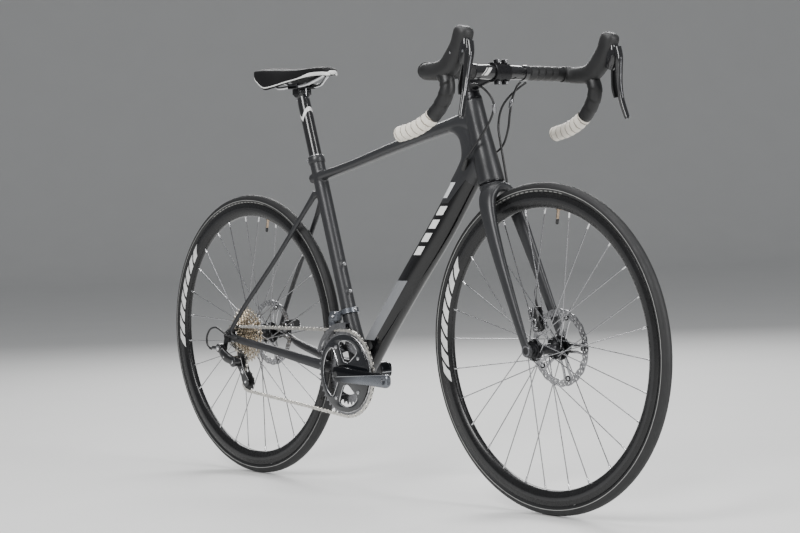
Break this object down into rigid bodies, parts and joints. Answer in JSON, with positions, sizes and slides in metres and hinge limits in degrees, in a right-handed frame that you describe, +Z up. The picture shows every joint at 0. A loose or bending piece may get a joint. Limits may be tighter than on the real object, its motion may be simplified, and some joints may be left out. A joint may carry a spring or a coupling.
{
  "type": "road bicycle",
  "caption": "Drop-bar road bicycle with disc brakes, spoked wheels, double crankset, derailleurs, steering fork, hinged brake levers and adjustable saddle; no pedals.",
  "frame": {"origin": "on the ground, midway between the wheel axles, in the centre plane of the bicycle", "axes": "+X towards the front wheel, +Y to the rider's left (the chain is on the -Y side), +Z up"},
  "size_m": [1.6926, 0.4714, 0.9827],
  "materials": {
    "frame_paint": "satin",
    "black_alloy": "satin",
    "spoke_steel": "satin",
    "tyre_rubber": "matte",
    "rubber": "matte",
    "bar_wrap": "matte",
    "saddle_cover": "gloss",
    "crank_grey": "polished",
    "steel": "polished",
    "chain_steel": "polished",
    "dark_plastic": "gloss"
  },
  "bodies": {
    "frame": {"frame": "frame_paint", "derailleur_hanger": "black_alloy", "bottom_bracket_cup_right": "black_alloy", "bottom_bracket_cup_left": "black_alloy", "headset_bearing_lower": "steel", "headset_bearing_upper": "steel", "seat_collar": "black_alloy", "front_derailleur_mount": "black_alloy", "front_derailleur_cage": "steel", "rear_thru_axle": "black_alloy", "rear_brake_caliper": "dark_plastic", "rear_derailleur_body": "dark_plastic", "rear_shift_housing": "dark_plastic", "chain": "chain_steel"},
    "seat_post": {"seat_post": "black_alloy"},
    "saddle": {"saddle_clamp": "black_alloy", "saddle_rail_right": "steel", "saddle_rail_left": "steel", "saddle_shell": "dark_plastic", "saddle_cover": "saddle_cover"},
    "steering": {"fork": "frame_paint", "headset_cover": "black_alloy", "stem": "black_alloy", "stem_faceplate": "black_alloy", "stem_cap": "black_alloy", "handlebar": "black_alloy", "bar_tape_right": "bar_wrap", "bar_tape_left": "bar_wrap", "lever_hood_right": "rubber", "lever_hood_left": "rubber", "front_thru_axle": "black_alloy", "front_brake_caliper": "dark_plastic", "front_brake_hose": "dark_plastic", "shift_housing_right": "dark_plastic", "shift_housing_left": "dark_plastic"},
    "brake_lever_right": {"brake_lever_right": "dark_plastic"},
    "brake_lever_left": {"brake_lever_left": "dark_plastic"},
    "shift_paddle_right": {"shift_paddle_right": "dark_plastic"},
    "shift_paddle_left": {"shift_paddle_left": "dark_plastic"},
    "front_wheel": {"front_tyre": "tyre_rubber", "front_rim": "black_alloy", "front_spokes_right": "spoke_steel", "front_spokes_left": "spoke_steel", "front_hub": "black_alloy", "front_rotor": "steel"},
    "rear_wheel": {"rear_tyre": "tyre_rubber", "rear_rim": "black_alloy", "rear_spokes_right": "spoke_steel", "rear_spokes_left": "spoke_steel", "rear_hub": "black_alloy", "rear_rotor": "steel"},
    "crankset": {"crank_arm_right": "crank_grey", "crank_arm_left": "crank_grey", "chainring_outer": "crank_grey", "chainring_inner": "crank_grey", "crank_spindle": "steel"},
    "cassette": {"cassette_sprockets": "steel"},
    "derailleur_cage": {"rear_derailleur_cage": "dark_plastic"},
    "guide_pulley": {"guide_pulley": "dark_plastic"},
    "tension_pulley": {"tension_pulley": "dark_plastic"}
  },
  "joints": [
    {"name": "steering", "type": "hinge", "parent": "frame", "child": "steering", "pos_m": [0.4668, 0, 0.3243], "axis": [-0.2872, 0, 0.9579], "range_deg": [-70, 70], "deforming": ["shift_housing_right", "shift_housing_left"]},
    {"name": "front_wheel_spin", "type": "hinge", "parent": "steering", "child": "front_wheel", "pos_m": [0.5093, 0, 0.337], "axis": [0, 1, 0], "continuous": true},
    {"name": "rear_wheel_spin", "type": "hinge", "parent": "frame", "child": "rear_wheel", "pos_m": [-0.5093, 0, 0.337], "axis": [0, 1, 0], "continuous": true},
    {"name": "crank_spin", "type": "hinge", "parent": "frame", "child": "crankset", "pos_m": [-0.0925, 0, 0.2638], "axis": [0, 1, 0], "continuous": true},
    {"name": "cassette_spin", "type": "hinge", "parent": "frame", "child": "cassette", "pos_m": [-0.5093, 0, 0.337], "axis": [0, 1, 0], "continuous": true},
    {"name": "guide_pulley_spin", "type": "hinge", "parent": "frame", "child": "guide_pulley", "pos_m": [-0.48, -0.0625, 0.277], "axis": [0, 1, 0], "continuous": true},
    {"name": "derailleur_cage_swing", "type": "hinge", "parent": "frame", "child": "derailleur_cage", "pos_m": [-0.48, -0.0625, 0.277], "axis": [0, 1, 0], "range_deg": [-40, 25], "stiffness_Nm_per_rad": 0.6, "deforming": ["chain"]},
    {"name": "tension_pulley_spin", "type": "hinge", "parent": "derailleur_cage", "child": "tension_pulley", "pos_m": [-0.452, -0.0625, 0.229], "axis": [0, 1, 0], "continuous": true},
    {"name": "brake_lever_right_pull", "type": "hinge", "parent": "steering", "child": "brake_lever_right", "pos_m": [0.527, -0.206, 0.93], "axis": [0, 1, 0], "range_deg": [0, 18], "stiffness_Nm_per_rad": 0.5},
    {"name": "brake_lever_left_pull", "type": "hinge", "parent": "steering", "child": "brake_lever_left", "pos_m": [0.527, 0.206, 0.93], "axis": [0, 1, 0], "range_deg": [0, 18], "stiffness_Nm_per_rad": 0.5},
    {"name": "shift_paddle_right_push", "type": "hinge", "parent": "brake_lever_right", "child": "shift_paddle_right", "pos_m": [0.516, -0.206, 0.906], "axis": [1, 0, 0], "range_deg": [0, 12], "stiffness_Nm_per_rad": 0.15},
    {"name": "shift_paddle_left_push", "type": "hinge", "parent": "brake_lever_left", "child": "shift_paddle_left", "pos_m": [0.516, 0.206, 0.906], "axis": [-1, 0, 0], "range_deg": [0, 12], "stiffness_Nm_per_rad": 0.15},
    {"name": "seat_post_height", "type": "slide", "parent": "frame", "child": "seat_post", "axis": [-0.2861, 0, 0.9582], "range_m": [-0.05, 0.06]},
    {"name": "saddle_tilt", "type": "hinge", "parent": "seat_post", "child": "saddle", "pos_m": [-0.28476, 0, 0.90771], "axis": [0, 1, 0], "range_deg": [-6, 6]}
  ],
  "couplings": [
    {"joint": "cassette_spin", "follows": "crank_spin", "ratio": 4.3636},
    {"joint": "guide_pulley_spin", "follows": "crank_spin", "ratio": -4.3636},
    {"joint": "tension_pulley_spin", "follows": "crank_spin", "ratio": 4.3636}
  ]
}
